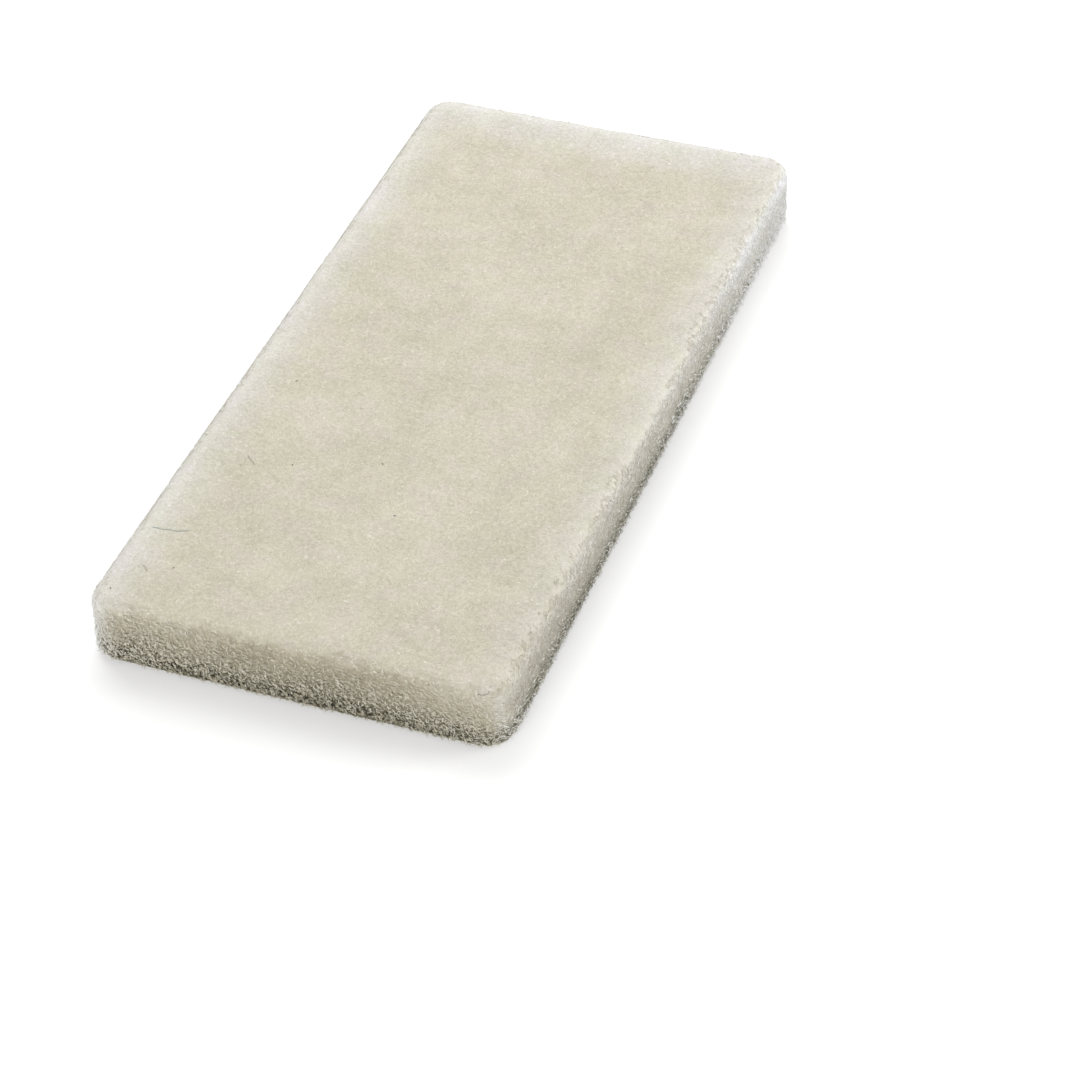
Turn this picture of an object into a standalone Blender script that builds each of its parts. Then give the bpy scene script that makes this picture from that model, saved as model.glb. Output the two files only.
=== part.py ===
"""A cream non-woven scouring pad: one springy slab of bonded fibre, cut to a rectangle with round corners.

The pad lies flat with its origin at the middle of the face it rests on: X across it, Y along it, Z up.
Its two broad faces are flat. Its four cut sides turn softly into them, and are roughened by tufts of
fibre that stand out to the cut line with shallow hollows between.
"""

import math

import bmesh
import bpy
from mathutils import Vector, noise

# Driving dimensions, in metres
LENGTH = 0.254
WIDTH = 0.1175
THICKNESS = 0.020
CORNER_RADIUS = 0.008  # the round corners, seen from above
TOP_EDGE_RADIUS = 0.0040  # the soft turn from the top into a cut side, where the die pressed in
UNDER_EDGE_RADIUS = 0.0022  # the tighter turn from the underside into a cut side

# The cut sides, in metres
TUFT_PITCH = 0.0050  # from one tuft of fibre to the next along the cut
LAYER_PITCH = 0.0044  # from one layer of the laid web to the next through the thickness
HOLLOW_DEPTH = 0.0010  # the deepest hollow between tufts

# How the hollows lie: their usual depth and how much it varies, as shares of the deepest
USUAL_HOLLOW = 0.40
HOLLOW_SPREAD = 1.20

# How finely the stretches are faceted
CORNER_STEPS = 6
TOP_EDGE_STEPS = 4
UNDER_EDGE_STEPS = 3
STEPS_PER_TUFT = 2
ROUND_PROFILE = 0.5  # a bevel whose section is an arc of a circle

# The pad's finish
CREAM = (0.70, 0.66, 0.54, 1.0)
ROUGHNESS = 0.95

NODE = "scouring_pad"
COLLECTION = "scouring_pad_parts"
LEVEL_DEG = 2.5  # a face that tilts less than this from level is one of the broad faces
ON_PLANE = 1e-6  # a point this near a cutting plane counts as on it


def clear_scene():
    """Empties the scene of what it opened with."""
    for obj in list(bpy.data.objects):
        bpy.data.objects.remove(obj, do_unlink=True)


def rectangular_slab():
    """The slab before any edge is softened, resting on Z = 0."""
    slab = bmesh.new()
    bmesh.ops.create_cube(slab, size=1.0)
    bmesh.ops.scale(slab, vec=(WIDTH, LENGTH, THICKNESS), verts=slab.verts)
    bmesh.ops.translate(slab, vec=(0.0, 0.0, THICKNESS / 2), verts=slab.verts)
    return slab


def is_broad(face):
    """Whether a face is the top or the underside."""
    return abs(face.normal.z) > math.cos(math.radians(LEVEL_DEG))


def round_corners(slab):
    """Rounds the four upright edges."""
    upright = [edge for edge in slab.edges if not any(is_broad(face) for face in edge.link_faces)]
    bmesh.ops.bevel(
        slab,
        geom=upright,
        offset=CORNER_RADIUS,
        segments=CORNER_STEPS,
        profile=ROUND_PROFILE,
        affect="EDGES",
    )


def soften_rim(slab, height, radius, steps):
    """Rounds the rim of the broad face that lies at one height."""
    slab.normal_update()
    broad = [face for face in slab.faces if is_broad(face)]
    face = min(broad, key=lambda one: abs(one.calc_center_median().z - height))
    bmesh.ops.bevel(
        slab,
        geom=list(face.edges),
        offset=radius,
        segments=steps,
        profile=ROUND_PROFILE,
        affect="EDGES",
    )


def cuts_between(start, end, pitch):
    """Evenly spaced places strictly between two others, about a pitch apart."""
    count = max(1, round((end - start) / pitch))
    return [start + (end - start) * step / count for step in range(1, count)]


def divide_sides(slab):
    """Divides the cut sides into a net finer than the tufts, and leaves the broad faces whole."""
    planes = []
    straight_x = WIDTH / 2 - CORNER_RADIUS
    straight_y = LENGTH / 2 - CORNER_RADIUS
    along = TUFT_PITCH / STEPS_PER_TUFT
    through = LAYER_PITCH / STEPS_PER_TUFT
    for x in cuts_between(-straight_x, straight_x, along):
        planes.append((Vector((x, 0.0, 0.0)), Vector((1.0, 0.0, 0.0))))
    for y in cuts_between(-straight_y, straight_y, along):
        planes.append((Vector((0.0, y, 0.0)), Vector((0.0, 1.0, 0.0))))
    for z in cuts_between(UNDER_EDGE_RADIUS, THICKNESS - TOP_EDGE_RADIUS, through):
        planes.append((Vector((0.0, 0.0, z)), Vector((0.0, 0.0, 1.0))))
    for place, across in planes:
        slab.normal_update()
        sides = [face for face in slab.faces if not is_broad(face)]
        bmesh.ops.bisect_plane(
            slab,
            geom=[*sides, *slab.edges, *slab.verts],
            dist=ON_PLANE,
            plane_co=place,
            plane_no=across,
        )


def hollow_share(place):
    """How deep a place on the cut sides lies: 0 on a tuft, 1 at the bottom of the deepest hollow."""
    tuft = Vector((place.x / TUFT_PITCH, place.y / TUFT_PITCH, place.z / LAYER_PITCH))
    share = USUAL_HOLLOW - HOLLOW_SPREAD * noise.noise(tuft)
    return min(1.0, max(0.0, share))


def roughen_sides(slab):
    """Sinks the hollows between the tufts into the cut sides, fading out towards the broad faces."""
    slab.normal_update()
    flat_rim = {vert for face in slab.faces if is_broad(face) for vert in face.verts}
    moves = {}
    for vert in slab.verts:
        if vert in flat_rim:
            continue
        outward = Vector((vert.normal.x, vert.normal.y, 0.0)).normalized()
        below_top = (THICKNESS - vert.co.z) / TOP_EDGE_RADIUS
        above_underside = vert.co.z / UNDER_EDGE_RADIUS
        fade = min(1.0, below_top, above_underside)
        moves[vert] = outward * (-HOLLOW_DEPTH * fade * hollow_share(vert.co))
    for vert, move in moves.items():
        vert.co += move


def cream_fibre():
    """The finish of the pad's bonded fibre."""
    material = bpy.data.materials.new("cream_fibre")
    material.use_nodes = True
    shader = material.node_tree.nodes["Principled BSDF"]
    shader.inputs["Base Color"].default_value = CREAM
    shader.inputs["Roughness"].default_value = ROUGHNESS
    shader.inputs["Metallic"].default_value = 0.0
    material.diffuse_color = CREAM
    return material


def make_pad(collection):
    """The whole pad, as one object."""
    slab = rectangular_slab()
    slab.normal_update()
    round_corners(slab)
    soften_rim(slab, THICKNESS, TOP_EDGE_RADIUS, TOP_EDGE_STEPS)
    soften_rim(slab, 0.0, UNDER_EDGE_RADIUS, UNDER_EDGE_STEPS)
    divide_sides(slab)
    roughen_sides(slab)
    slab.normal_update()
    mesh = bpy.data.meshes.new(NODE)
    slab.to_mesh(mesh)
    slab.free()
    mesh.shade_smooth()
    mesh.materials.append(cream_fibre())
    pad = bpy.data.objects.new(NODE, mesh)
    collection.objects.link(pad)
    return pad


def main():
    """Builds the pad in its own collection."""
    clear_scene()
    collection = bpy.data.collections.new(COLLECTION)
    bpy.context.scene.collection.children.link(collection)
    make_pad(collection)


main()
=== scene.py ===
"""The looks of a cream non-woven scouring pad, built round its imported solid.

The pad is one web of fine curled fibres, bonded where they cross and cut out with a die. It is made here
as the relief of that web, coats of single fibres that lie on it and stand out of its cut sides, and the
few stray hairs and specks that it has picked up.
"""

import logging
import math
from collections.abc import Callable, Mapping
from dataclasses import dataclass
from enum import Enum
from typing import Any

import bpy
from mathutils import Matrix, Vector
from mathutils.bvhtree import BVHTree


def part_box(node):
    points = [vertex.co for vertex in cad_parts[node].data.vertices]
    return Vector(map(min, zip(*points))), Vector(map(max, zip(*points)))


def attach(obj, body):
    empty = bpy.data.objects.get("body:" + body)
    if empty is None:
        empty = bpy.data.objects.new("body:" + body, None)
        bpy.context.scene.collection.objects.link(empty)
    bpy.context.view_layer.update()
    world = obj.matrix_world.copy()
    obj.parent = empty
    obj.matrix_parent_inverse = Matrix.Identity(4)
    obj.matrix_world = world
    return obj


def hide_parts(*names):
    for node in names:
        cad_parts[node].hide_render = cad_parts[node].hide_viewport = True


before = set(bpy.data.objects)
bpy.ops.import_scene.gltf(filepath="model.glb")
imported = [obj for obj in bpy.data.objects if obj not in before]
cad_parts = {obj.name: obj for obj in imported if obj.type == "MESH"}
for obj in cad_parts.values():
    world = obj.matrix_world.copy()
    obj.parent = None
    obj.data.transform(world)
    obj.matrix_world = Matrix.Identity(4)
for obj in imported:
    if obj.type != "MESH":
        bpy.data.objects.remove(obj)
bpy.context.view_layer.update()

MM = 0.001
NODE = "scouring_pad"
BODY = "root"
TONE_MAP = "OFBake"  # the map of each fibre's tone and paleness, under the name that the export keeps
TINY = 1e-9  # keeps a division by nothing from failing
LEVEL = 0.55  # the upright part of a normal above which fibres count it as on a broad face
STEEP = 0.75  # and under which they count it as on a cut side
CUT_TOP = 19.0 * MM  # the height up to which fibres root all round the cut sides

log = logging.getLogger("scouring_pad")

Colour = tuple[float, float, float]
Span = tuple[float, float]  # two ends: a least and a greatest, or those of an easing


def operator(operation: str, turned: bool = False) -> Callable[["Wire", "Number"], "Wire"]:
    """Makes one of a wire's operators.

    Args:
        operation: What its Math node does.
        turned: Whether the wire is the second of the two.

    Returns:
        The operator.
    """
    def operate(wire: "Wire", other: "Number") -> "Wire":
        """The result of the wire and another number."""
        pair = (other, wire) if turned else (wire, other)
        return wire.sheet.math(operation, *pair)

    return operate


class Wire:
    """An output socket of a node, on which Python's arithmetic adds Math nodes."""

    __add__, __radd__ = operator("ADD"), operator("ADD", turned=True)
    __sub__, __rsub__ = operator("SUBTRACT"), operator("SUBTRACT", turned=True)
    __mul__, __rmul__ = operator("MULTIPLY"), operator("MULTIPLY", turned=True)
    __truediv__, __rtruediv__ = operator("DIVIDE"), operator("DIVIDE", turned=True)
    __pow__ = operator("POWER")
    __gt__, __lt__ = operator("GREATER_THAN"), operator("LESS_THAN")

    def __init__(self, sheet: "Sheet", socket: bpy.types.NodeSocket) -> None:
        """Keeps the socket and the sheet that it is on."""
        self.sheet = sheet
        self.socket = socket

    def __neg__(self) -> "Wire":
        """This with its sign turned."""
        return self * -1.0

    def __abs__(self) -> "Wire":
        """This without its sign."""
        return self.sheet.math("ABSOLUTE", self)


Number = Wire | float


class Outlets:
    """The outputs of one node, read by name."""

    def __init__(self, sheet: "Sheet", node: bpy.types.Node) -> None:
        """Keeps the node and the sheet that it is on."""
        self.sheet = sheet
        self.node = node

    def __getitem__(self, name: str) -> Wire:
        """The output of that name which is in use."""
        socket = next(one for one in self.node.outputs if one.enabled and one.name == name)
        return Wire(self.sheet, socket)


class Sheet:
    """A node tree as it is written, for shading or for geometry."""

    def __init__(self, tree: bpy.types.NodeTree) -> None:
        """Keeps the tree."""
        self.tree = tree

    def node(
        self,
        kind: str,
        settings: Mapping[str, Any] | None = None,
        sockets: Mapping[str | int, Any] | None = None,
    ) -> Outlets:
        """Adds a node.

        Args:
            kind: The node's type.
            settings: Its own settings, set first. A ramp's "stops" are pairs of a place and a colour, and
                a capture's "items" are pairs of a type and a name.
            sockets: The value or the wire of each input, by name, or by number where names repeat.

        Returns:
            The node's outputs.
        """
        made = self.tree.nodes.new(kind)
        for name, value in (settings or {}).items():
            if name == "stops":
                self._set_stops(made.color_ramp, value)
            elif name == "items":
                for item_kind, item_name in value:
                    made.capture_items.new(item_kind, item_name)
            else:
                setattr(made, name, value)
        for name, value in (sockets or {}).items():
            self.feed(made, name, value)
        return Outlets(self, made)

    def math(self, operation: str, *values: Number) -> Wire:
        """Adds a Math node.

        Args:
            operation: What it does.
            values: Its inputs in order.

        Returns:
            Its result.
        """
        return self.node("ShaderNodeMath", {"operation": operation}, dict(enumerate(values)))["Value"]

    def vector(self, operation: str, *values: Any, scale: Number | None = None) -> Wire:
        """Adds a Vector Math node.

        Args:
            operation: What it does.
            values: Its vectors in order.
            scale: What it scales them by, where it scales.

        Returns:
            Its result.
        """
        sockets: dict[str | int, Any] = dict(enumerate(values))
        if scale is not None:
            sockets["Scale"] = scale
        made = self.node("ShaderNodeVectorMath", {"operation": operation}, sockets)
        return made["Value" if operation == "LENGTH" else "Vector"]

    def parts(self, vector: Wire) -> tuple[Wire, Wire, Wire]:
        """A vector's X, Y and Z."""
        made = self.node("ShaderNodeSeparateXYZ", sockets={"Vector": vector})
        return made["X"], made["Y"], made["Z"]

    def joined(self, x: Number, y: Number, z: Number) -> Wire:
        """The vector of three numbers."""
        return self.node("ShaderNodeCombineXYZ", sockets={"X": x, "Y": y, "Z": z})["Vector"]

    def ease(self, value: Wire, start: float, end: float) -> Wire:
        """Rises smoothly from 0 to 1.

        Args:
            value: What is read.
            start: Where the result is 0.
            end: Where the result is 1, which may lie below start.

        Returns:
            The eased number.
        """
        ends = {"Value": value, "From Min": start, "From Max": end}
        return self.node("ShaderNodeMapRange", {"interpolation_type": "SMOOTHSTEP"}, ends)["Result"]

    def noise(self, where: Wire, pitch: float, detail: float, rough: float = 0.5) -> Wire:
        """Smooth noise between 0 and 1.

        Args:
            where: The place that is read.
            pitch: About how far apart its lumps lie, in metres.
            detail: How many finer layers are added.
            rough: How strong each finer layer is beside the last.

        Returns:
            The noise.
        """
        sockets = {"Vector": where, "Scale": 1.0 / pitch, "Detail": detail, "Roughness": rough}
        return self.node("ShaderNodeTexNoise", sockets=sockets)["Fac"]

    def blend(self, share: Number, first: Wire | Colour, second: Wire | Colour) -> Wire:
        """A blend of two colours.

        Args:
            share: How much of the second it holds.
            first: One colour.
            second: The other.

        Returns:
            The blended colour.
        """
        pair = [one if isinstance(one, Wire) else (*one, 1.0) for one in (first, second)]
        sockets = {"Factor": share, "A": pair[0], "B": pair[1]}
        return self.node("ShaderNodeMix", {"data_type": "RGBA"}, sockets)["Result"]

    def feed(self, node: bpy.types.Node, name: str | int, value: Any) -> None:
        """Links a wire to an input of a node, or sets its value."""
        socket = self._input(node, name)
        if isinstance(value, Wire):
            self.tree.links.new(value.socket, socket)
        else:
            socket.default_value = value

    def _input(self, node: bpy.types.Node, name: str | int) -> bpy.types.NodeSocket:
        """The input of that number, or the one of that name which is in use."""
        if isinstance(name, int):
            return node.inputs[name]
        return next(one for one in node.inputs if one.enabled and one.name == name)

    def _set_stops(self, ramp: bpy.types.ColorRamp, stops: list[tuple[float, Colour]]) -> None:
        """Gives a ramp its stops, in rising order."""
        while len(ramp.elements) < len(stops):
            ramp.elements.new(1.0)
        for element, (place, colour) in zip(ramp.elements, stops, strict=True):
            element.position = place
            element.color = (*colour, 1.0)


@dataclass(frozen=True)
class Spot:
    """A place on the pad's surface, as the nodes of a sheet read it."""

    sheet: Sheet
    place: Wire
    normal: Wire  # the way that the surface faces there

    @property
    def at(self) -> tuple[Wire, Wire, Wire]:
        """How far it lies across the pad, along it and up."""
        return self.sheet.parts(self.place)

    @property
    def facing(self) -> tuple[Wire, Wire, Wire]:
        """How far the surface faces across the pad, along it and up."""
        return self.sheet.parts(self.normal)


class ShapeTree(Sheet):
    """A Geometry Nodes tree with named sizes, which grows a plain mesh."""

    def __init__(self, name: str) -> None:
        """Starts a tree that takes in a shape and gives one back."""
        super().__init__(bpy.data.node_groups.new(name, "GeometryNodeTree"))
        for way in ("INPUT", "OUTPUT"):
            self.tree.interface.new_socket("Geometry", in_out=way, socket_type="NodeSocketGeometry")
        self.name = name
        self.entry = Outlets(self, self.tree.nodes.new("NodeGroupInput"))
        self.values: dict[str, float | int] = {}

    @property
    def given(self) -> Wire:
        """The shape that the tree takes in."""
        return self.entry["Geometry"]

    @property
    def here(self) -> Wire:
        """Where each point or face is."""
        return self.node("GeometryNodeInputPosition")["Position"]

    @property
    def outward(self) -> Wire:
        """The way that each point or face faces."""
        return self.node("GeometryNodeInputNormal")["Normal"]

    def moved(self, shape: Wire, **how: Wire) -> Wire:
        """A shape whose points are moved to a "Position" or by an "Offset"."""
        return self.node("GeometryNodeSetPosition", sockets={"Geometry": shape, **how})["Geometry"]

    def size(self, name: str, value: float | int) -> Wire:
        """Adds a named size to the tree's inputs.

        Args:
            name: The size's name.
            value: What it is set to. A whole number makes a whole-number input.

        Returns:
            The size as it is read inside the tree.
        """
        kind = "NodeSocketInt" if isinstance(value, int) else "NodeSocketFloat"
        socket = self.tree.interface.new_socket(name, in_out="INPUT", socket_type=kind)
        self.values[socket.identifier] = value
        return self.entry[name]

    def sizes(self, owner: object, *fields: str) -> list[Wire]:
        """Adds some of an object's fields to the tree's inputs as named sizes."""
        return [self.size(one.replace("_", " ").capitalize(), getattr(owner, one)) for one in fields]

    def grow(
        self, shape: Wire, material: bpy.types.Material | None, base: bpy.types.Mesh
    ) -> bpy.types.Mesh:
        """Ends the tree and evaluates it.

        Args:
            shape: The finished shape.
            material: What it is made of.
            base: The mesh that the tree takes in.

        Returns:
            A plain mesh.
        """
        real = self.node("GeometryNodeRealizeInstances", sockets={"Geometry": shape})["Geometry"]
        dressed = self.node("GeometryNodeSetMaterial", sockets={"Geometry": real, "Material": material})
        self.node("NodeGroupOutput", sockets={"Geometry": dressed["Geometry"]})
        host = bpy.data.objects.new(self.name, base)
        bpy.context.scene.collection.objects.link(host)
        modifier = host.modifiers.new(self.name, "NODES")
        modifier.node_group = self.tree
        for identifier, value in self.values.items():
            modifier[identifier] = value
        graph = bpy.context.evaluated_depsgraph_get()
        grown = host.evaluated_get(graph)
        mesh = bpy.data.meshes.new_from_object(grown, preserve_all_data_layers=True, depsgraph=graph)
        host.modifiers.remove(modifier)
        bpy.data.objects.remove(host)
        mesh.name = self.name
        return mesh


class Zone(Enum):
    """The stretches of the pad's surface that fibres are laid on."""

    TOP = "top"
    UNDER = "under"
    NEAR_END = "near end"
    FAR_END = "far end"
    LEFT_SIDE = "left side"
    RIGHT_SIDE = "right side"
    CUT = "cut sides"


@dataclass(frozen=True)
class PadForm:
    """The pad's outer form, in metres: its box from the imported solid, and the radii of its edges."""

    low: Vector
    high: Vector
    corner_radius: float = 8.0 * MM
    top_radius: float = 4.0 * MM
    under_radius: float = 2.2 * MM
    facing: Span = (0.3, 0.95)  # the part of a normal along an axis, as the surface turns that way
    cutting: Span = (0.95, 0.45)  # its upright part, as the surface turns into a cut side
    felted_end: float = -0.15  # where the felt begins to open at the ends, as a share of the depth
    felted_side: float = 0.42  # and at the long sides
    opening_pitch: float = 26.0 * MM  # how that place wanders along the cut
    opening_swing: float = 0.28  # and how far, as a share of the thickness
    end_opening: Span = (-0.06, 0.06)  # what is added to that: amid an end, and near its corners
    end_middle: Span = (8.0 * MM, 36.0 * MM)  # how far off the middle it goes from the one to the other
    swell_pitch: float = 40.0 * MM  # how the whole surface wanders from flat
    swell_depth: float = 0.5 * MM
    swell_rise: Span = (0.0, 6.0 * MM)  # the heights between which that comes in, so that it rests flat

    @property
    def size(self) -> Vector:
        """The pad's width, length and thickness."""
        return self.high - self.low

    def cutness(self, spot: Spot) -> Wire:
        """1 on the cut sides and 0 on the broad faces, eased over the turns between them."""
        return spot.sheet.ease(abs(spot.facing[2]), *self.cutting)

    def turned(self, sheet: Sheet, part: Wire, way: float = 1.0) -> Wire:
        """How far the surface is turned one way along an axis.

        Args:
            sheet: Where its nodes go.
            part: The part of its normal along that axis.
            way: Which way: 1 or -1.

        Returns:
            1 where it is wholly turned that way.
        """
        start, end = self.facing
        return sheet.ease(part, start * way, end * way)

    def openness(self, spot: Spot) -> Wire:
        """How open the web is: 0 where it is felted, which reaches further down the long sides, up to 1."""
        sheet = spot.sheet
        x, _, z = spot.at
        depth = 1.0 - z / self.size.z
        sideways = abs(spot.facing[0])
        amid, corner = self.end_opening
        cornerward = sheet.ease(abs(x), *self.end_middle)
        wander = (0.5 - sheet.noise(spot.place, self.opening_pitch, 1.0)) * 2 * self.opening_swing
        wander = wander + (amid + (corner - amid) * cornerward) * (1 - sideways)
        start = self.felted_end + (self.felted_side - self.felted_end) * sideways
        return sheet.ease((depth + wander - start) / (1.0 - start), 0.0, 1.0)


@dataclass(frozen=True)
class Tint:
    """The pad's colour, with painted light and shade in it. A tone runs from its pores to its brightest
    fibres, and paleness whitens it.
    """

    form: PadForm
    shades: tuple[tuple[float, Colour], ...] = (
        (0.0, (0.102, 0.098, 0.064)),
        (0.35, (0.320, 0.301, 0.206)),
        (0.7, (0.639, 0.586, 0.454)),
        (1.0, (0.852, 0.813, 0.697)),
    )
    whitening: Colour = (1.156, 1.216, 1.432)  # what full paleness multiplies a colour by
    usual: float = 0.645  # the tone of the plain felt
    cloud_pitch: float = 24.0 * MM
    blot_pitch: float = 7.0 * MM
    cloud_swing: float = 0.08  # how far the clouds swing the tone, from end to end
    blot_swing: float = 0.06
    rim_highlight: float = 0.11  # painted highlight: how much the far and the left rim raise the tone
    rim_width: float = 9.0 * MM
    low_shade: float = 0.42  # painted shade: how much darker the cut sides grow towards the underside
    low: Span = (9.0 * MM, 0.5 * MM)  # between these heights
    right_shade: float = 1.0 * MM  # how much further up that reaches on the right side
    right_corner: float = 0.6  # the share of that shade that the right corners are spared
    right_bend: Span = (42.0 * MM, 54.0 * MM)  # how far right of the middle that comes in
    corner_highlight: float = 0.15  # painted highlight: how much brighter the ends are near their corners
    corner_middle: float = 5.0 * MM  # the place across an end that lies amid that
    corner_spread: Span = (12.0 * MM, 42.0 * MM)  # how far off that place it comes in
    corner_height: float = 8.0 * MM  # the height where it is whole
    left_corner_highlight: float = 0.15  # painted highlight: how much brighter still the left ones are
    left_bend: Span = (36.0 * MM, 54.0 * MM)  # how far left of the middle that comes in
    left_corner_pale: float = 0.60  # and how pale they are, as painted highlight
    left_paling: Span = (48.0 * MM, 57.0 * MM)  # how far left of the middle that comes in
    end_bend: Span = (112.0 * MM, 122.0 * MM)  # how far along the pad its corners come in
    high_end_highlight: float = 0.05  # painted light from above: how much brighter the ends are near the top
    high_side_highlight: float = 0.10  # and the long sides
    high: Span = (10.0 * MM, 17.0 * MM)  # between these heights
    far_highlight: float = 0.18  # painted highlight: how much brighter the right side is at its far end
    far_start: float = -20.0 * MM  # how far along the pad that comes in
    middle: float = 0.21  # how pale the middle of the top is
    far_rim: float = 1.0  # how far its rims go on from there to full paleness, which is painted highlight
    left_rim: float = 0.83
    right_rim: Span = (0.40, 0.76)  # at its near and at its far end
    far_rim_width: Span = (26.0 * MM, 3.0 * MM)  # how far inside the edge each rim starts, and is whole
    left_rim_width: Span = (19.0 * MM, 1.0 * MM)
    right_rim_width: Span = (16.0 * MM, 1.0 * MM)
    far_side: float = 0.50  # how pale the cut sides are, other than the near end
    left_side: float = 0.62
    right_side: Span = (0.60, 1.0)  # at its near and at its far end; the rise to the far end is painted highlight

    def tone(self, spot: Spot) -> Wire:
        """The tone of the felt, with its clouds, painted highlights on its rims, corners and upper sides,
        and painted shade down its cut sides.
        """
        form, sheet = self.form, spot.sheet
        x, y, z = spot.at
        across, along, _ = spot.facing
        cloud = sheet.noise(spot.place, self.cloud_pitch, 1.5)
        blot = sheet.noise(spot.place, self.blot_pitch, 2.0)
        clouds = (cloud - 0.5) * 2 * self.cloud_swing + (blot - 0.5) * 2 * self.blot_swing
        rightward = form.turned(sheet, across)
        sideways = form.turned(sheet, abs(across))
        endward = form.turned(sheet, abs(along))
        cut = form.cutness(spot)

        # painted shade darkens the cut sides towards the underside, less towards the far end of the right
        # side and at its corners
        distant = rightward * sheet.ease(y, self.far_start, form.size.y / 2)
        low = sheet.ease(z - rightward * self.right_shade, *self.low)
        spared = self._corners(sheet, x, y, self.right_bend) * self.right_corner
        shade = cut * low * (1 - distant) * (1 - spared)

        # painted highlight at the far and the left rim
        rim = sheet.math("MINIMUM", form.size.y / 2 - y, form.size.x / 2 + x)
        lift = sheet.ease(rim, self.rim_width, 0.0) * self.rim_highlight
        # painted highlight near the corners of the ends, and more at the left corners
        corner = endward * sheet.ease(abs(x - self.corner_middle), *self.corner_spread)
        corner = corner * sheet.ease(z, 0.0, self.corner_height)
        # painted light from above on the upper parts of the ends and the long sides
        high = endward * self.high_end_highlight + sideways * self.high_side_highlight
        high = sheet.ease(z, *self.high) * high
        lift = lift + distant * self.far_highlight + corner * self.corner_highlight + high
        lift = lift + cut * self._corners(sheet, -x, y, self.left_bend) * self.left_corner_highlight
        return self.usual + clouds + lift - shade * self.low_shade

    def _corners(self, sheet: Sheet, outward: Wire, along: Wire, bend: Span) -> Wire:
        """1 at the two corners of one long side, and 0 elsewhere.

        Args:
            sheet: Where its nodes go.
            outward: How far towards that side a place is.
            along: How far along the pad it is.
            bend: How far towards that side the corners come in.

        Returns:
            The share.
        """
        return sheet.ease(outward, *bend) * sheet.ease(abs(along), *self.end_bend)

    def paleness_and_highlight(self, spot: Spot) -> Wire:
        """How pale the felt is: little in the middle of the top, up to 1 at the rims as painted highlight,
        which also whitens the far end of the right side and the left corners.
        """
        form, sheet = self.form, spot.sheet
        x, y, _ = spot.at
        across, along, _ = spot.facing
        half_x, half_y = form.size.x / 2, form.size.y / 2
        onward = y / form.size.y + 0.5
        far = sheet.ease(half_y - y, *self.far_rim_width) * self.far_rim
        left = sheet.ease(half_x + x, *self.left_rim_width) * self.left_rim
        near, distant = self.right_rim
        right = sheet.ease(half_x - x, *self.right_rim_width) * (near + (distant - near) * onward)
        rims = sheet.math("MAXIMUM", far, sheet.math("MAXIMUM", left, right))
        top = self.middle + (1 - self.middle) * rims

        near, distant = self.right_side
        sides = (near + (distant - near) * onward) * form.turned(sheet, across)
        sides = sides + self.left_side * form.turned(sheet, across, -1.0)
        sides = sides + self.far_side * form.turned(sheet, along)
        corner = self._corners(sheet, -x, y, self.left_paling) * self.left_corner_pale
        cut = form.cutness(spot)
        pale = top * (1 - cut) + sheet.math("MAXIMUM", sides, corner) * cut
        return sheet.math("MINIMUM", sheet.math("MAXIMUM", pale, 0.0), 1.0)

    def colour(self, sheet: Sheet, tone: Wire, pale: Wire) -> Wire:
        """The colour of a tone and a paleness."""
        stops = {"stops": list(self.shades)}
        base = sheet.node("ShaderNodeValToRGB", stops, {"Fac": tone})["Color"]
        scaled = sheet.vector("MULTIPLY", base, self.whitening)
        return sheet.blend(pale, base, scaled)


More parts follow.
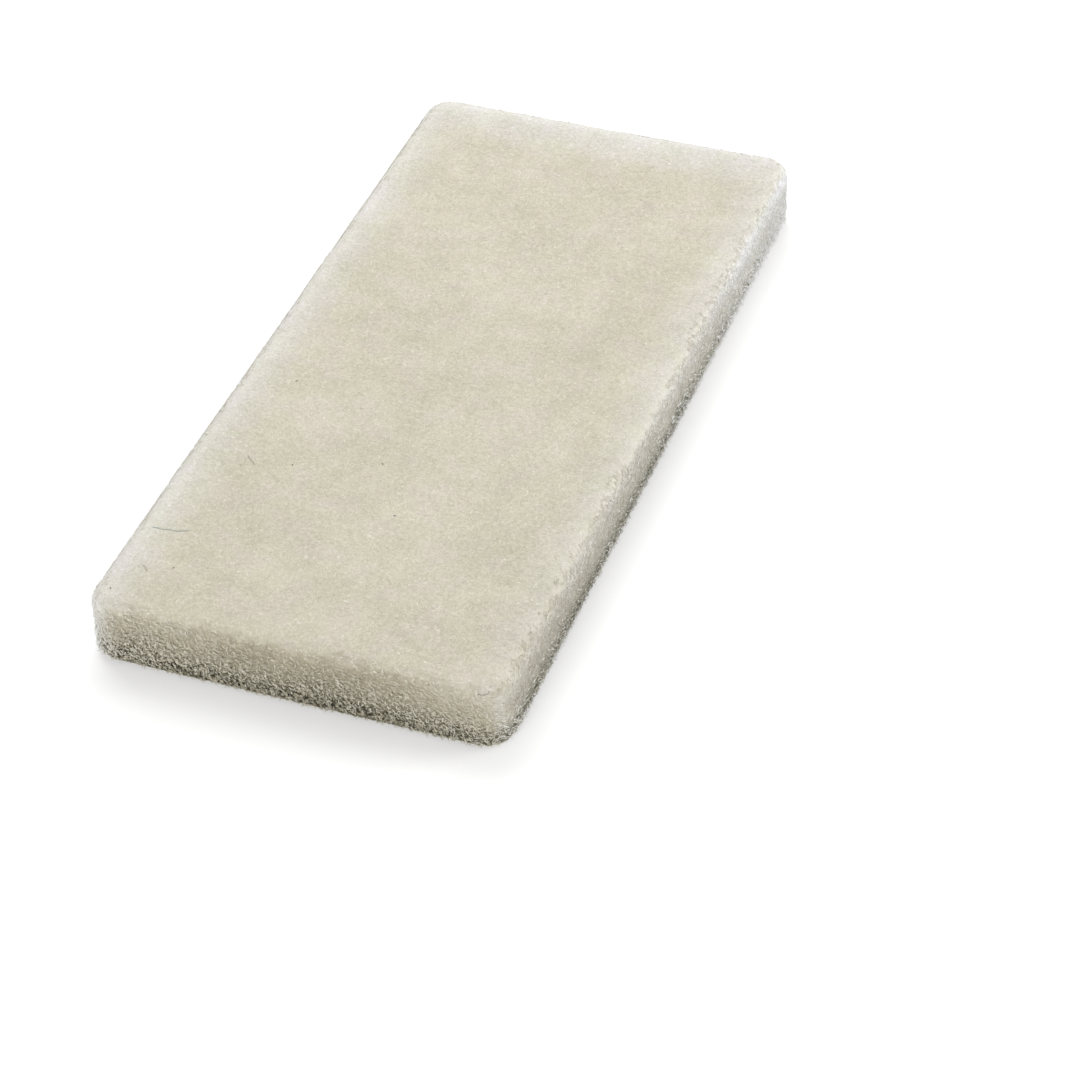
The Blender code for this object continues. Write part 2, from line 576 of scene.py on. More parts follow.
@dataclass(frozen=True)
class Web:
    """The pad's bonded web: a closed slab with round edges, whose cut sides are full of pores."""

    form: PadForm
    tint: Tint
    pitches: tuple[float, float] = (1.0 * MM, 0.75 * MM)  # between its points across it, and through it
    guide_pitches: tuple[float, float] = (2.5 * MM, 1.25 * MM)  # likewise on the guide
    flat_bed: float = 0.17 * MM  # how far it lies under the cut line on the broad faces
    cut_bed: float = 0.25 * MM  # likewise on the cut sides, under the felted top
    open_bed: float = 1.25 * MM  # and where the web is most open
    pore_pitch: float = 2.0 * MM
    pore_depth: float = 0.8 * MM
    closeness: float = 0.5  # how much shallower and plainer the pores of the long sides are
    nap_pitch: float = 1.8 * MM
    nap_depth: float = 0.05 * MM
    grain_pitch: float = 1.3 * MM
    fleck_pitch: float = 0.6 * MM
    grain_swing: float = 0.37  # how far the grain swings the tone from end to end, and the flecks too
    spark_pitch: float = 0.75 * MM
    spark_rise: Span = (0.79, 0.86)  # the noise where a spark starts, and is whole
    spark_highlight: float = 0.25  # painted glint: how much brighter a spark is
    curl_lift: float = 0.13  # and a curl
    curl_layers: tuple[tuple[float, float], ...] = (  # the shift and the pitch of each layer of curls
        (0.0, 1.9 * MM), (0.31, 1.5 * MM), (0.67, 2.3 * MM),
    )
    curl_width: float = 0.035  # how far from the middle of the noise a curl reaches
    gap_pitch: float = 0.9 * MM
    gap_rise: Span = (0.42, 0.62)  # the noise where a curl is broken, and is whole
    open_shade: float = 0.10  # painted shade in the pores: how much darker the web grows as it opens
    deep_shade: float = 0.42  # and how much more where it is most open
    hue_pitch: float = 8.0 * MM
    hue_rise: Span = (0.32, 0.68)  # the noise where the first tinge goes over into the second
    tinges: tuple[Colour, Colour] = ((0.985, 1.0, 0.965), (1.012, 0.997, 1.03))
    roughness: tuple[float, float] = (0.7, 0.25)  # at least, and how much more with the flecks
    bump_strength: float = 0.5
    bump_depth: float = 0.08 * MM

    def slab(self, name: str, pitches: tuple[float, float]) -> tuple[ShapeTree, Wire]:
        """Starts a tree with the smooth slab in it.

        Args:
            name: The tree's name.
            pitches: Between its points across it, and through it.

        Returns:
            The tree, and the slab.
        """
        tree = ShapeTree(name)
        width, length, thickness = (
            tree.size(what, value)
            for what, value in zip(("Width", "Length", "Thickness"), self.form.size, strict=True)
        )
        corner, top, under, swell_depth = tree.sizes(
            self.form, "corner_radius", "top_radius", "under_radius", "swell_depth"
        )
        pitch, layer_pitch = pitches
        across = tree.size("Points across", round(self.form.size.x / pitch) + 1)
        along = tree.size("Points along", round(self.form.size.y / pitch) + 1)
        through = tree.size("Points through", round(self.form.size.z / layer_pitch) + 1)
        box = tree.node(
            "GeometryNodeMeshCube",
            sockets={
                "Size": tree.joined(width, length, thickness),
                "Vertices X": across,
                "Vertices Y": along,
                "Vertices Z": through,
            },
        )["Mesh"]

        x, y, z = tree.parts(tree.here)
        inner_x, inner_y = width / 2 - corner, length / 2 - corner
        near_x = tree.math("MAXIMUM", tree.math("MINIMUM", x, inner_x), -inner_x)
        near_y = tree.math("MAXIMUM", tree.math("MINIMUM", y, inner_y), -inner_y)
        out_x, out_y = x - near_x, y - near_y
        square = tree.math("MAXIMUM", abs(out_x), abs(out_y))
        straight = tree.math("MAXIMUM", tree.math("SQRT", out_x**2 + out_y**2), TINY)

        radius = under + (top - under) * (z > 0.0)
        from_rim, from_face = corner - square, thickness / 2 - abs(z)
        rim = tree.math("MAXIMUM", radius - from_rim, 0.0)
        face = tree.math("MAXIMUM", radius - from_face, 0.0)
        turn = tree.math("MAXIMUM", tree.math("SQRT", rim**2 + face**2), TINY)
        keep = tree.math("MAXIMUM", rim, face) / turn
        reach = corner - (from_rim + rim * (1 - keep))
        height = thickness / 2 - (from_face + face * (1 - keep))
        place = tree.joined(
            near_x + out_x / straight * reach,
            near_y + out_y / straight * reach,
            tree.math("SIGN", z) * height + thickness / 2,
        )
        slab = tree.moved(box, Position=place)
        lifted = tree.ease(tree.parts(tree.here)[2], *self.form.swell_rise)
        swell = (tree.noise(tree.here, self.form.swell_pitch, 1.0) - 0.5) * swell_depth * lifted
        slab = tree.moved(slab, Offset=tree.vector("SCALE", tree.outward, scale=swell))
        return tree, tree.node("GeometryNodeSetShadeSmooth", sockets={"Geometry": slab})["Geometry"]

    def guide(self) -> bpy.types.Mesh:
        """A coarse smooth slab at the pad's outer surface, which the fibres are laid on."""
        tree, slab = self.slab("guide", self.guide_pitches)
        return tree.grow(slab, None, bpy.data.meshes.new("nothing"))

    def build(self) -> bpy.types.Object:
        """Builds the web with its pores and its nap.

        Returns:
            The finished piece.
        """
        tree, slab = self.slab("web", self.pitches)
        pore_depth, nap_depth, flat_bed, cut_bed, open_bed = tree.sizes(
            self, "pore_depth", "nap_depth", "flat_bed", "cut_bed", "open_bed"
        )
        spot = Spot(tree, tree.here, tree.outward)
        cut = self.form.cutness(spot)
        opened = self.form.openness(spot) * (1 - self.closeness * abs(spot.facing[0]))
        pores = tree.noise(spot.place, self.pore_pitch, 3.0, 0.6)
        nap = tree.noise(spot.place, self.nap_pitch, 3.0, 0.6)
        side_bed = cut_bed + (open_bed - cut_bed) * opened
        sunk = flat_bed + (side_bed - flat_bed) * cut
        sunk = sunk + pore_depth * cut * opened * (pores - 0.5) * 2
        sunk = sunk + nap_depth * (1 - cut) * (nap - 0.5) * 2
        porous = tree.moved(slab, Offset=tree.vector("SCALE", spot.normal, scale=-sunk))
        mesh = tree.grow(porous, self.material(), bpy.data.meshes.new("nothing"))
        return finished("web", mesh)

    def material(self) -> bpy.types.Material:
        """Felt on the broad faces, going over into pores down the cut sides that are darkened with painted
        shade, with painted glints all over.
        """
        material, sheet, shader = new_material("bonded_web")
        place = sheet.node("ShaderNodeTexCoord")["Object"]
        spot = Spot(sheet, place, sheet.node("ShaderNodeNewGeometry")["Normal"])
        cut = self.form.cutness(spot)
        opened = self.form.openness(spot)
        grain = sheet.noise(place, self.grain_pitch, 3.0, 0.75)
        fleck = sheet.noise(place, self.fleck_pitch, 2.0, 0.7)
        spark = sheet.ease(sheet.noise(place, self.spark_pitch, 0.0), *self.spark_rise)
        curl = self._curls(sheet, place)
        calm = 1 - self.closeness * abs(spot.facing[0])
        # painted shade in the pores of the cut sides, deepest where the web is most open
        pores = cut * (opened * self.open_shade + opened**3.0 * self.deep_shade)
        tone = self.tint.tone(spot)
        # the sparks are painted glints
        tone = tone + curl * (1 - cut * opened) * self.curl_lift + spark * self.spark_highlight
        swing = (grain - 0.5) * self.grain_swing + (fleck - 0.5) * self.grain_swing
        tone = tone + (swing - pores) * calm
        hue = sheet.ease(sheet.noise(place, self.hue_pitch, 2.0), *self.hue_rise)
        colour = self.tint.colour(sheet, tone, self.tint.paleness_and_highlight(spot))
        tinge = sheet.blend(hue, *self.tinges)
        sheet.feed(shader, "Base Color", sheet.vector("MULTIPLY", colour, tinge))
        least, more = self.roughness
        sheet.feed(shader, "Roughness", least + more * fleck)
        height = grain + fleck + curl
        bump = {"Strength": self.bump_strength, "Distance": self.bump_depth, "Height": height}
        sheet.feed(shader, "Normal", sheet.node("ShaderNodeBump", sockets=bump)["Normal"])
        return material

    def _curls(self, sheet: Sheet, place: Wire) -> Wire:
        """Thin broken lines that wind over the felt, each like a stretch of one fibre near its surface.

        Args:
            sheet: Where its nodes go.
            place: The place.

        Returns:
            1 along the lines and 0 between them.
        """
        curl: Number = 0.0
        for shift, pitch in self.curl_layers:
            moved = sheet.vector("ADD", place, (shift, shift * 2, shift * 3))
            line = sheet.ease(abs(sheet.noise(moved, pitch, 1.0) - 0.5), self.curl_width, 0.0)
            broken = sheet.ease(sheet.noise(moved, self.gap_pitch, 1.0), *self.gap_rise)
            curl = sheet.math("MAXIMUM", line * broken, curl)
        return curl


@dataclass(frozen=True)
class FibreFinish:
    """The finish of the loose fibres, which read their tone and paleness from a map of their own."""

    tint: Tint
    roughness: float = 0.5

    def material(self) -> bpy.types.Material:
        """The material."""
        material, sheet, shader = new_material("loose_fibre")
        tone, pale, _ = sheet.parts(sheet.node("ShaderNodeUVMap", {"uv_map": TONE_MAP})["UV"])
        sheet.feed(shader, "Base Color", self.tint.colour(sheet, tone, pale))
        shader.inputs["Roughness"].default_value = self.roughness
        return material


@dataclass(frozen=True)
class Coat:
    """One coat of single fibres laid on the pad. Lengths are in metres and turns in whole turns."""

    name: str
    zone: Zone
    count: int
    seed: int
    points: int = 5  # along each fibre
    sides: int = 3  # round it
    diameter: float = 0.11 * MM
    reach: Span = (1.6 * MM, 4.6 * MM)  # the shortest and the longest fibre
    aim: float = 0.5  # how far each way it may turn from level
    bend: float = 0.8  # how far it turns along its length, each way at most
    sway: float = 0.12  # how far it sways each side of that
    rise: Span = (-0.21 * MM, -0.15 * MM)  # the height of its middle line over the cut line
    weave: float = 0.04 * MM  # how far it dips and rises along its length
    tip: float = 0.0  # how far its end stands out
    felted: float = 1.0  # the share of rise, weave and tip that is left under the felted top
    lift: float = 0.18  # how much brighter its fibres are than the felt under them
    spread: float = 0.16  # how far its tone varies from fibre to fibre, each way at most
    sinking: float = 0.0  # painted shade: how much darker it is for each millimetre that it lies deep
    crowding: float = 0.0  # how much it thins out towards the felted top, up to 1 where none is left
    waves: float = 1.6  # how often it sways, and dips, along its length
    girth: Span = (0.6, 1.3)  # the thinnest and the thickest fibre, as shares of the diameter

    def build(self, guide: bpy.types.Mesh, tint: Tint, material: bpy.types.Material) -> bpy.types.Object:
        """Lays the fibres.

        Args:
            guide: The smooth surface that they are laid on.
            tint: The pad's colour.
            material: What they are made of.

        Returns:
            The finished piece.
        """
        tree = ShapeTree(self.name)
        points, sides, thick, bend, sway, weave, tip = tree.sizes(
            self, "points", "sides", "diameter", "bend", "sway", "weave", "tip"
        )
        felted, spread, brighter, sinking = tree.sizes(self, "felted", "spread", "lift", "sinking")

        kept = self._rooted(tree, tint.form)
        thread = tree.node("GeometryNodeCurvePrimitiveLine", sockets={"End": (1.0, 0.0, 0.0)})["Curve"]
        thread = tree.node("GeometryNodeResampleCurve", sockets={"Curve": thread, "Count": points})["Curve"]
        strewn = tree.node(
            "GeometryNodeInstanceOnPoints", sockets={"Points": kept["Geometry"], "Instance": thread}
        )["Instances"]
        threads = tree.node("GeometryNodeRealizeInstances", sockets={"Geometry": strewn})["Geometry"]

        along = tree.node("GeometryNodeSplineParameter")["Factor"]
        swing = tree.math("SINE", (along * self.waves + kept["Phase"]) * math.tau)
        heading = (kept["Aim"] + (kept["Bend"] * bend) * (along - 0.5) + sway * swing) * math.tau
        step = kept["Reach"] / (points - 1)
        move = tree.vector(
            "ADD",
            tree.vector("SCALE", kept["Across"], scale=tree.math("COSINE", heading) * step),
            tree.vector("SCALE", kept["Upward"], scale=tree.math("SINE", heading) * step),
        )
        walked = tree.node(
            "GeometryNodeAccumulateField",
            {"data_type": "FLOAT_VECTOR", "domain": "POINT"},
            {"Value": move, "Group ID": tree.node("GeometryNodeCurveOfPoint")["Curve Index"]},
        )
        middle = tree.vector("SCALE", walked["Total"], scale=-0.5)
        path = tree.vector("ADD", tree.vector("ADD", kept["Root"], walked["Trailing"]), middle)
        threads = tree.moved(threads, Position=path)

        nearest = tree.node(
            "GeometryNodeProximity",
            {"target_element": "FACES"},
            {"Geometry": tree.given, "Sample Position": tree.here},
        )["Position"]
        outward = tree.node(
            "GeometryNodeSampleNearestSurface",
            {"data_type": "FLOAT_VECTOR"},
            {"Mesh": tree.given, "Value": tree.outward, "Sample Position": tree.here},
        )["Value"]
        spot = Spot(tree, nearest, outward)
        ripple = tree.math("SINE", (along * self.waves + kept["Phase"] * 3.0) * math.tau)
        room = felted + (1 - felted) * tint.form.openness(spot)
        lift = (kept["Rise"] + weave * ripple + tip * along**2) * room
        laid = tree.vector("ADD", nearest, tree.vector("SCALE", outward, scale=lift))
        # its own tone, with painted shade for how deep it lies
        own = (brighter + kept["Tone"] * spread + sinking * lift / MM) * room
        dyed = tree.node(
            "GeometryNodeCaptureAttribute",
            {"items": [("FLOAT", "Tone"), ("FLOAT", "Pale")]},
            {"Geometry": threads, "Tone": tint.tone(spot) + own, "Pale": tint.paleness_and_highlight(spot)},
        )
        profile = tree.node(
            "GeometryNodeCurvePrimitiveCircle", sockets={"Resolution": sides, "Radius": thick / 2}
        )["Curve"]
        tubes = tree.node(
            "GeometryNodeCurveToMesh",
            sockets={
                "Curve": tree.moved(dyed["Geometry"], Position=laid),
                "Profile Curve": profile,
                "Scale": kept["Girth"],
                "Fill Caps": True,
            },
        )["Mesh"]
        tone = tree.math("MINIMUM", tree.math("MAXIMUM", dyed["Tone"], 0.0), 1.0)
        tubes = tree.node(
            "GeometryNodeStoreNamedAttribute",
            {"data_type": "FLOAT2", "domain": "CORNER"},
            {"Geometry": tubes, "Name": TONE_MAP, "Value": tree.joined(tone, dyed["Pale"], 0.0)},
        )["Geometry"]
        flat = {"Geometry": tubes, "Shade Smooth": False}
        tubes = tree.node("GeometryNodeSetShadeSmooth", sockets=flat)["Geometry"]
        return finished(self.name, tree.grow(tubes, material, guide))

    def _rooted(self, tree: ShapeTree, form: PadForm) -> Outlets:
        """Strews the fibres' roots over the coat's zone.

        Args:
            tree: The coat's tree.
            form: The pad's form.

        Returns:
            The roots, with what each fibre keeps of its own.
        """
        count = tree.size("Fibres", float(self.count))
        shortest = tree.size("Shortest", self.reach[0])
        longest = tree.size("Longest", self.reach[1])
        lowest = tree.size("Lowest", self.rise[0])
        highest = tree.size("Highest", self.rise[1])
        aim, crowding = tree.sizes(self, "aim", "crowding")
        spot = Spot(tree, tree.here, tree.outward)
        chosen = self._chosen(spot)
        share = 1 - crowding + crowding * form.openness(spot)
        area = tree.node("GeometryNodeInputMeshFaceArea")["Area"]
        whole = tree.node(
            "GeometryNodeAttributeStatistic",
            {"data_type": "FLOAT", "domain": "FACE"},
            {"Geometry": tree.given, "Selection": chosen, "Attribute": area * share},
        )["Sum"]
        density = count / whole * share
        strewing = {"Mesh": tree.given, "Selection": chosen, "Density": density, "Seed": self.seed}
        roots = tree.node("GeometryNodeDistributePointsOnFaces", sockets=strewing)
        level = (0.0, 1.0, 0.0) if self.zone in (Zone.TOP, Zone.UNDER) else (0.0, 0.0, 1.0)
        across = tree.vector("NORMALIZE", tree.vector("CROSS_PRODUCT", level, roots["Normal"]))
        chances = {
            "Aim": (-aim, aim),
            "Bend": (-1.0, 1.0),
            "Phase": (0.0, 1.0),
            "Reach": (shortest, longest),
            "Rise": (lowest, highest),
            "Girth": self.girth,
            "Tone": (-1.0, 1.0),
        }
        kept = {
            name: self._random(tree, ends, self.seed * 10 + number)
            for number, (name, ends) in enumerate(chances.items())
        }
        kept |= {
            "Geometry": roots["Points"],
            "Root": tree.here,
            "Across": across,
            "Upward": tree.vector("CROSS_PRODUCT", roots["Normal"], across),
        }
        items = [("FLOAT", name) for name in chances]
        items += [("VECTOR", name) for name in ("Root", "Across", "Upward")]
        return tree.node("GeometryNodeCaptureAttribute", {"items": items}, kept)

    def _random(self, tree: ShapeTree, ends: tuple[Number, Number], seed: int) -> Wire:
        """A number for each fibre, evenly between two ends."""
        sockets = {"Min": ends[0], "Max": ends[1], "Seed": seed}
        return tree.node("FunctionNodeRandomValue", {"data_type": "FLOAT"}, sockets)["Value"]

    def _chosen(self, spot: Spot) -> Wire:
        """1 on the faces of this coat's zone, and else 0."""
        x, y, z = spot.facing
        height = spot.at[2]
        cut = abs(z) < STEEP
        endwise = abs(y) > abs(x)
        return {
            Zone.TOP: z > LEVEL,
            Zone.UNDER: z < -LEVEL,
            Zone.NEAR_END: cut * endwise * (y < 0.0),
            Zone.FAR_END: cut * endwise * (y > 0.0),
            Zone.LEFT_SIDE: cut * (1 - endwise) * (x < 0.0),
            Zone.RIGHT_SIDE: cut * (1 - endwise) * (x > 0.0),
            Zone.CUT: cut * (height < CUT_TOP),
        }[self.zone]


def finished(name: str, mesh: bpy.types.Mesh) -> bpy.types.Object:
    """Makes a mesh a piece of the pad.

    Args:
        name: The piece's name.
        mesh: Its mesh, in place.

    Returns:
        The piece, which rides on the pad's body.
    """
    piece = bpy.data.objects.new(name, mesh)
    bpy.context.scene.collection.objects.link(piece)
    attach(piece, BODY)
    mesh.calc_loop_triangles()
    log.info("%s: %d triangles", name, len(mesh.loop_triangles))
    return piece


def new_material(name: str) -> tuple[bpy.types.Material, Sheet, bpy.types.Node]:
    """Starts a material.

    Args:
        name: Its name.

    Returns:
        The material, its sheet of nodes and its Principled shader.
    """
    material = bpy.data.materials.new(name)
    material.use_nodes = True
    return material, Sheet(material.node_tree), material.node_tree.nodes["Principled BSDF"]


@dataclass(frozen=True)
class Lamp:
    """A square soft lamp that faces the pad."""

    name: str
    place: tuple[float, float, float]
    size: float
    power: float

    def hang(self) -> None:
        """Adds it to the scene."""
        lamp = bpy.data.lights.new(self.name, "AREA")
        lamp.size = self.size
        lamp.energy = self.power
        holder = bpy.data.objects.new(self.name, lamp)
        holder.location = self.place
        holder.rotation_euler = (-Vector(self.place)).to_track_quat("-Z", "Y").to_euler()
        bpy.context.scene.collection.objects.link(holder)


@dataclass(frozen=True)
class Studio:
    """The camera, the lamps, the floor and the backdrop. Places are in metres and angles in degrees."""

    lens: float = 108.104  # in millimetres, as is the sensor
    sensor: float = 36.0
    clip: Span = (0.01, 50.0)
    place: tuple[float, float, float] = (0.28009, -0.67426, 0.57526)
    azimuth: float = 21.026
    elevation: float = 40.462
    roll: float = -1.708
    floor_size: float = 2.6
    floor_white: float = 0.80  # how bright the camera sees the floor's own white
    floor_glow: float = 0.38  # and what it adds, so that open floor is plain white
    floor_plain: Span = (0.35, 0.90)  # how far off it turns, and is, wholly plain white
    floor_grey: float = 0.20  # how bright the floor is to the light that it throws back at the pad
    sky: float = 0.35
    lamps: tuple[Lamp, ...] = (
        Lamp("key", (-0.50, 0.70, 1.00), size=1.1, power=11.5),
        Lamp("side", (1.5, 0.7, 0.42), size=1.0, power=20.0),
        Lamp("front", (0.1, -1.8, 0.5), size=1.0, power=17.5),
    )

    def build(self) -> None:
        """Sets up the whole studio."""
        self._camera()
        self._world()
        self._floor()
        for lamp in self.lamps:
            lamp.hang()
        bpy.context.scene.view_settings.view_transform = "Standard"

    def _camera(self) -> None:
        """Puts the camera where the photograph was taken from."""
        turn, tilt, lean = (math.radians(one) for one in (self.azimuth, self.elevation, self.roll))
        back = Vector((math.sin(turn) * math.cos(tilt), -math.cos(turn) * math.cos(tilt), math.sin(tilt)))
        right = Vector((math.cos(turn), math.sin(turn), 0.0))
        up = back.cross(right)
        across = right * math.cos(lean) + up * math.sin(lean)
        upward = up * math.cos(lean) - right * math.sin(lean)
        lens = bpy.data.cameras.new("camera")
        lens.lens = self.lens
        lens.sensor_width = self.sensor
        lens.clip_start, lens.clip_end = self.clip
        camera = bpy.data.objects.new("camera", lens)
        turned = Matrix((across, upward, back)).transposed().to_4x4()
        camera.matrix_world = Matrix.Translation(self.place) @ turned
        bpy.context.scene.collection.objects.link(camera)
        bpy.context.scene.camera = camera

    def _seen(self, sheet: Sheet) -> Wire:
        """1 where the camera sees the surface, straight or in a mirror or through glass, and else 0."""
        path = sheet.node("ShaderNodeLightPath")
        seen = sheet.math("MAXIMUM", path["Is Camera Ray"], path["Is Glossy Ray"])
        return sheet.math("MAXIMUM", seen, path["Is Transmission Ray"])

    def _world(self) -> None:
        """A white backdrop that lights the pad more softly than it looks."""
        world = bpy.data.worlds.new("backdrop")
        world.use_nodes = True
        bpy.context.scene.world = world
        sheet = Sheet(world.node_tree)
        background = world.node_tree.nodes["Background"]
        background.inputs["Color"].default_value = (1.0, 1.0, 1.0, 1.0)
        sheet.feed(background, "Strength", self.sky + (1.0 - self.sky) * self._seen(sheet))

    def _floor(self) -> None:
        """A white floor under the pad, which keeps the pad's shadow."""
        bpy.ops.mesh.primitive_plane_add(size=self.floor_size, location=(0.0, 0.0, 0.0))
        floor = bpy.context.object
        floor.name = "floor"
        material, sheet, shader = new_material("floor")
        seen = self._seen(sheet)
        grey = self.floor_grey + (self.floor_white - self.floor_grey) * seen
        distance = sheet.vector("LENGTH", sheet.node("ShaderNodeTexCoord")["Object"])
        glow = (self.floor_glow + (1 - self.floor_glow) * sheet.ease(distance, *self.floor_plain)) * seen
        sheet.feed(shader, "Base Color", sheet.joined(grey, grey, grey))
        sheet.feed(shader, "Emission Color", sheet.joined(glow, glow, glow))
        shader.inputs["Emission Strength"].default_value = 1.0
        shader.inputs["Roughness"].default_value = 1.0
        shader.inputs["Specular IOR Level"].default_value = 0.0
        floor.data.materials.append(material)


def cut_coat(name: str, zone: Zone, count: int, seed: int) -> Coat:
    """The coat of one cut side: coarse short curls that dive in and out of the pores.

    Args:
        name: Its name.
        zone: The side.
        count: How many fibres.
        seed: What sets its chances.

    Returns:
        The coat.
    """
    return Coat(
        name, zone, count, seed, points=7, diameter=0.20 * MM, reach=(2.6 * MM, 6.5 * MM), aim=0.10,
        bend=0.6, sway=0.2, rise=(-0.95 * MM, -0.30 * MM), weave=0.45 * MM, felted=0.09, spread=0.19,
        sinking=0.42, lift=0.12,
    )


def glint_coat(name: str, zone: Zone, count: int, seed: int) -> Coat:
    """The sparse fibre ends all over one end, painted brighter than the rest as glints that catch the
    light.

    Args:
        name: Its name.
        zone: The end.
        count: How many fibres.
        seed: What sets its chances.

    Returns:
        The coat.
    """
    return Coat(
        name, zone, count, seed, points=3, diameter=0.25 * MM, reach=(0.5 * MM, 1.4 * MM), aim=0.14,
        bend=0.3, rise=(-0.12 * MM, 0.05 * MM), weave=0.0, tip=0.20 * MM, spread=0.12, lift=0.36,
    )


COATS = (
    Coat("top_fibres", Zone.TOP, 7300, 11),
    Coat("underside_fibres", Zone.UNDER, 2700, 12),
    cut_coat("near_end_fibres", Zone.NEAR_END, 2000, 13),
    cut_coat("far_end_fibres", Zone.FAR_END, 1700, 14),
    cut_coat("right_side_fibres", Zone.RIGHT_SIDE, 3500, 15),
    cut_coat("left_side_fibres", Zone.LEFT_SIDE, 3000, 16),
    Coat(
        "cut_ends", Zone.CUT, 5600, 17, points=3, diameter=0.28 * MM, reach=(0.4 * MM, 1.3 * MM), aim=0.14,
        bend=0.3, rise=(-0.40 * MM, 0.05 * MM), weave=0.0, tip=0.25 * MM, felted=0.60, spread=0.24,
        lift=0.48, crowding=0.95,
    ),
    Coat(
        "whiskers", Zone.CUT, 4200, 18, points=4, diameter=0.14 * MM, reach=(0.9 * MM, 2.6 * MM),
        bend=0.5, rise=(-0.5 * MM, 0.0), weave=0.0, tip=0.9 * MM, felted=0.30, spread=0.16, lift=0.42,
        crowding=0.75,
    ),
    glint_coat("near_end_glints", Zone.NEAR_END, 900, 19),
    glint_coat("far_end_glints", Zone.FAR_END, 450, 20),
)


class Dye(Enum):
    """The colours of what has settled on the pad."""

    BLUE_GREEN = (0.27, 0.37, 0.36)
    GREY = (0.16, 0.155, 0.14)
    DARK = (0.07, 0.065, 0.055)


@dataclass(frozen=True)
class StrayFinish:
    """The finish of a stray hair or speck, mottled along its length."""

    dye: Dye
    roughness: float = 0.6
    patch_pitch: float = 0.8 * MM
    mottle: float = 0.35  # how far its brightness varies

    def material(self) -> bpy.types.Material:
        """The material."""
        material, sheet, shader = new_material(f"stray_{self.dye.name.lower()}")
        place = sheet.node("ShaderNodeTexCoord")["Object"]
        patch = sheet.noise(place, self.patch_pitch, 2.0)
        colour = sheet.vector("SCALE", self.dye.value, scale=1.0 + (patch - 0.5) * 2 * self.mottle)
        sheet.feed(shader, "Base Color", colour)
        shader.inputs["Roughness"].default_value = self.roughness
        return material


@dataclass(frozen=True)
class Stray:
    """A hair or a speck that has settled on the pad. Sizes are in metres."""

    dye: Dye
    route: tuple[tuple[float, float], ...]  # the places across and along the pad that it lies over
    diameter: float = 0.10 * MM
    above: float = -0.07 * MM  # the height of its middle line over the cut line

    def lay(self, spine: bpy.types.Curve, ground: BVHTree, height: float) -> None:
        """Adds it to a curve.

        Args:
            spine: The curve, whose bevel is a metre deep at radius 1.
            ground: The smooth surface that it is laid on.
            height: How high that surface reaches.
        """
        strand = spine.splines.new("NURBS")
        strand.points.add(len(self.route) - 1)
        strand.use_endpoint_u = True
        strand.order_u = 3
        strand.resolution_u = 6
        for point, (x, y) in zip(strand.points, self.route, strict=True):
            place, outward, _, _ = ground.find_nearest(Vector((x, y, height)))
            point.co = (*(place + outward * self.above), 1.0)
            point.radius = self.diameter / 2


@dataclass(frozen=True)
class Litter:
    """The strays of one colour."""

    dye: Dye
    strays: tuple[Stray, ...]

    def build(self, guide: bpy.types.Mesh) -> bpy.types.Object:
        """Lays them on the pad.

        Args:
            guide: The smooth surface that they are laid on.

        Returns:
            The finished piece.
        """
        name = f"{self.dye.name.lower()}_strays"
        height = max(vertex.co.z for vertex in guide.vertices)
        ground = BVHTree.FromPolygons(
            [vertex.co for vertex in guide.vertices], [face.vertices for face in guide.polygons]
        )
        spine = bpy.data.curves.new(name, "CURVE")
        spine.dimensions = "3D"
        spine.bevel_depth = 1.0
        spine.bevel_resolution = 1
        spine.use_fill_caps = True
        for stray in self.strays:
            stray.lay(spine, ground, height)
        host = bpy.data.objects.new(name, spine)
        mesh = bpy.data.meshes.new_from_object(host)
        bpy.data.objects.remove(host)
        bpy.data.curves.remove(spine)
        mesh.name = name
        mesh.materials.clear()
        mesh.materials.append(StrayFinish(self.dye).material())
        return finished(name, mesh)


def hair(dye: Dye, route: tuple[tuple[float, float], ...], **build: float) -> Stray:
    """A hair.

    Args:
        dye: Its colour.
        route: The places across and along the pad that it lies over, in millimetres.
        build: Its diameter and how high it lies, where they aren't the usual ones.

    Returns:
        The hair.
    """
    return Stray(dye, tuple((x * MM, y * MM) for x, y in route), **build)


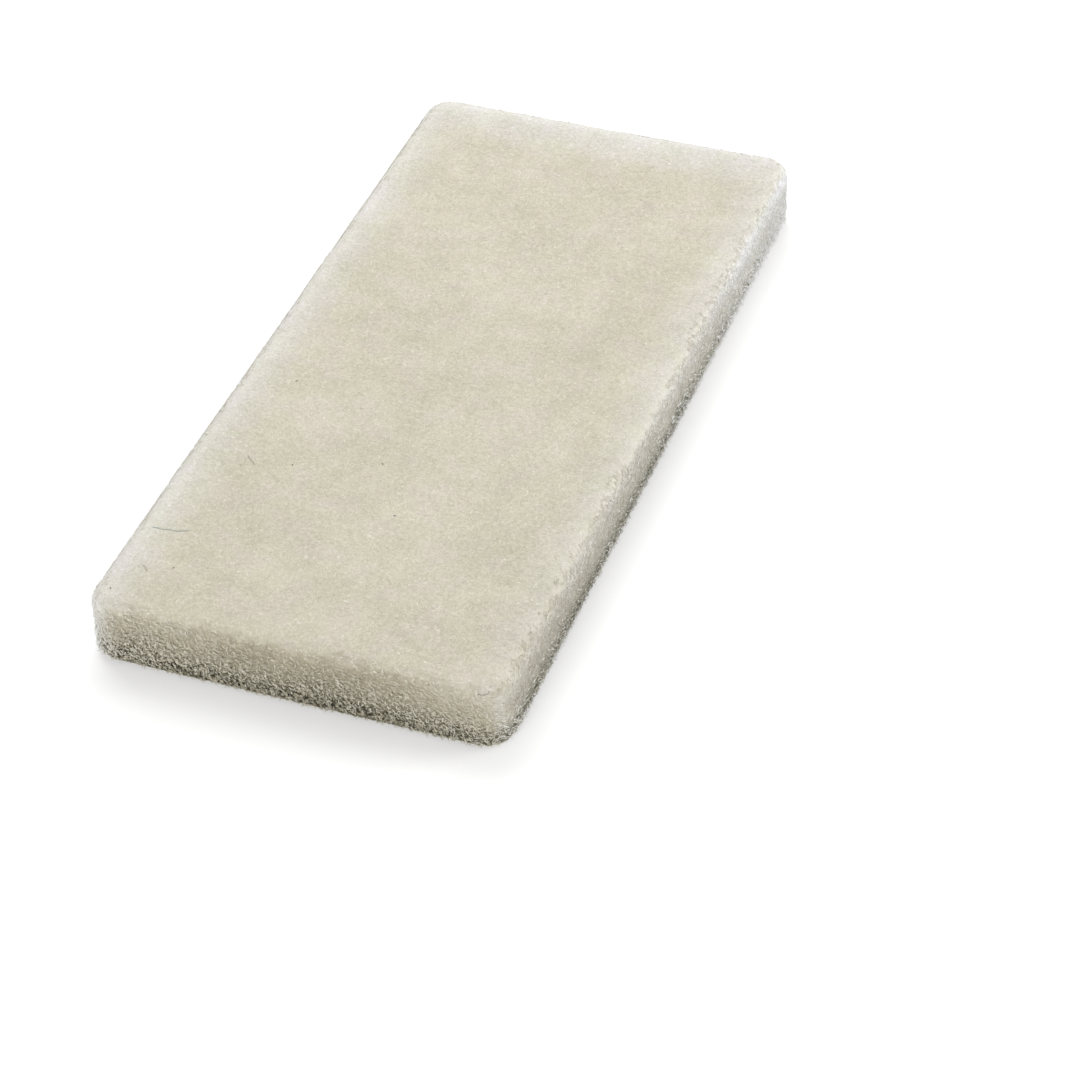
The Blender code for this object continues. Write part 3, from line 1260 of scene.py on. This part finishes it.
def speck(x: float, y: float, length: float, turn: float) -> Stray:
    """A dark speck: the broken end of a thicker fibre.

    Args:
        x: Its middle across the pad.
        y: Its middle along the pad.
        length: How long it is.
        turn: Which way it lies, in whole turns.

    Returns:
        The speck.
    """
    across, along = math.cos(turn * math.tau) * length / 2, math.sin(turn * math.tau) * length / 2
    route = ((x - across, y - along), (x, y), (x + across, y + along))
    return Stray(Dye.DARK, route, diameter=0.22 * MM, above=-0.10 * MM)


STRAYS = (
    hair(
        Dye.BLUE_GREEN,
        (
            (-53.3, -94.1), (-51.9, -93.8), (-50.4, -94.2), (-48.6, -93.5), (-46.9, -93.7), (-45.1, -93.0),
            (-43.2, -92.3),
        ),
        diameter=0.12 * MM,
    ),
    hair(
        Dye.GREY,
        (
            (51.2, -128.6), (51.9, -127.6), (52.7, -128.1), (53.5, -127.6), (54.2, -127.3), (54.7, -126.2),
            (54.2, -125.2),
        ),
        diameter=0.16 * MM,
        above=0.0,
    ),
    hair(Dye.GREY, ((-41.2, -58.3), (-40.4, -59.6), (-39.3, -59.9), (-38.0, -61.4))),
    hair(Dye.GREY, ((-49.2, -108.9), (-48.3, -109.2), (-47.5, -110.4), (-46.9, -110.7))),
    speck(-41.9 * MM, -23.3 * MM, 0.6 * MM, 0.10),
    speck(-28.2 * MM, -58.1 * MM, 0.5 * MM, 0.42),
    speck(-5.0 * MM, -50.0 * MM, 0.5 * MM, 0.30),
    speck(6.3 * MM, -69.4 * MM, 0.7 * MM, 0.05),
    speck(-53.2 * MM, -119.9 * MM, 0.6 * MM, 0.85),
    speck(-41.0 * MM, -107.4 * MM, 0.5 * MM, 0.60),
)


@dataclass(frozen=True)
class ScouringPad:
    """The whole pad."""

    form: PadForm
    coats: tuple[Coat, ...] = COATS
    strays: tuple[Stray, ...] = STRAYS

    def build(self) -> None:
        """Builds and dresses every piece."""
        tint = Tint(self.form)
        web = Web(self.form, tint)
        core = web.build()
        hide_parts(NODE)
        guide = web.guide()
        fibre = FibreFinish(tint).material()
        for coat in self.coats:
            coat.build(guide, tint, fibre)
        for dye in Dye:
            Litter(dye, tuple(one for one in self.strays if one.dye is dye)).build(guide)
        bpy.data.meshes.remove(guide)


def main() -> None:
    """Builds the studio and the pad."""
    logging.basicConfig(level=logging.INFO, format="%(name)s: %(message)s")
    low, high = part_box(NODE)
    Studio().build()
    ScouringPad(PadForm(low, high)).build()


if __name__ == "__main__":
    main()
